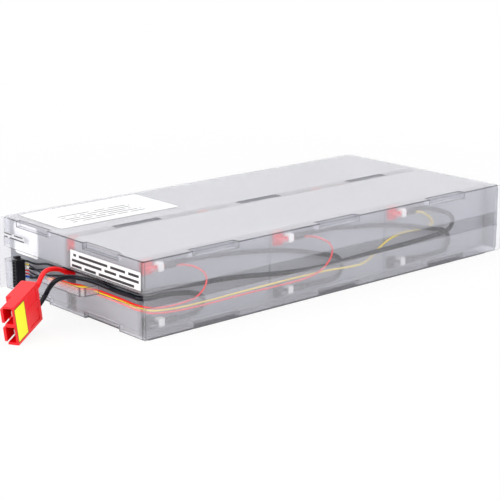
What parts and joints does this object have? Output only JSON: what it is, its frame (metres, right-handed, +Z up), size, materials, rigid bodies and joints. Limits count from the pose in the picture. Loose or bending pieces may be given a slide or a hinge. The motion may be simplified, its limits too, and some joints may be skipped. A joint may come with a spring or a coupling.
{
  "type": "UPS battery cartridge",
  "caption": "Flat battery cartridge for a rack UPS: sealed batteries in two rows between thin formed trays, with a power plug and a sense plug on leads at one end.",
  "frame": {"origin": "centre of the underside, measured without the loose leads and their plug", "axes": "+X along the long side away from the end with the leads, +Y away from the long side with the wiring, +Z up"},
  "size_m": [0.5679, 0.2218, 0.0702],
  "materials": {
    "tray_sheet": "thin frosted natural sheet, satin",
    "side_sheet": "thin clear sheet with a satin face",
    "battery_case": "moulded grey, fine texture",
    "battery_cover": "moulded grey, fine texture",
    "red_plastic": "moulded red",
    "black_plastic": "moulded black",
    "plated_brass": "tin plated",
    "white_plastic": "natural white nylon",
    "black_sleeve": "shrunk sleeve, slight sheen",
    "black_cable": "smooth insulation",
    "red_cable": "smooth insulation",
    "red_wire": "smooth insulation",
    "yellow_wire": "smooth insulation",
    "blue_wire": "smooth insulation",
    "plug_black": "moulded black nylon",
    "plug_red": "moulded red, slight sheen",
    "yellow_label": "plain yellow sticker",
    "label_paper": "blank white label",
    "adhesive_foam": "soft foam, sticky both sides"
  },
  "bodies": {
    "root": {"adhesive_strips": "adhesive_foam", "battery_case_front_1": "battery_case", "battery_case_front_2": "battery_case", "battery_case_front_3": "battery_case", "battery_case_rear_1": "battery_case", "battery_case_rear_2": "battery_case", "battery_case_rear_3": "battery_case", "battery_cover_front_1": "battery_cover", "battery_cover_front_2": "battery_cover", "battery_cover_front_3": "battery_cover", "battery_cover_rear_1": "battery_cover", "battery_cover_rear_2": "battery_cover", "battery_cover_rear_3": "battery_cover", "battery_label": "label_paper", "corner_label": "label_paper", "link_cable_front_1_2": "black_cable", "link_cable_front_2_3": "black_cable", "link_cable_rear_1_2": "black_cable", "link_cable_rear_2_3": "black_cable", "lower_tray": "tray_sheet", "negative_lead": "black_cable", "negative_lead_tail": "black_cable", "negative_terminal_bases_front": "black_plastic", "negative_terminal_bases_rear": "black_plastic", "positive_lead": "red_cable", "positive_lead_tail": "red_cable", "positive_terminal_bases_front": "red_plastic", "positive_terminal_bases_rear": "red_plastic", "power_plug_contacts": "plated_brass", "power_plug_housing": "plug_red", "power_plug_sticker": "yellow_label", "receptacle_insulators_front": "white_plastic", "receptacle_insulators_rear": "white_plastic", "receptacles_front": "plated_brass", "receptacles_rear": "plated_brass", "row_link_cable": "black_cable", "sense_plug_contacts": "plated_brass", "sense_plug_housing": "plug_black", "sense_wire_front_1": "red_wire", "sense_wire_front_2": "red_wire", "sense_wire_front_3": "yellow_wire", "sense_wire_rear_1": "black_cable", "sense_wire_rear_2": "black_cable", "sense_wire_rear_3": "blue_wire", "shrink_sleeves_front": "black_sleeve", "shrink_sleeves_rear": "black_sleeve", "side_label": "label_paper", "side_sheet_front": "side_sheet", "side_sheet_rear": "side_sheet", "terminal_blades_front": "plated_brass", "terminal_blades_rear": "plated_brass", "top_label": "label_paper", "upper_tray": "tray_sheet"}
  },
  "joints": []
}
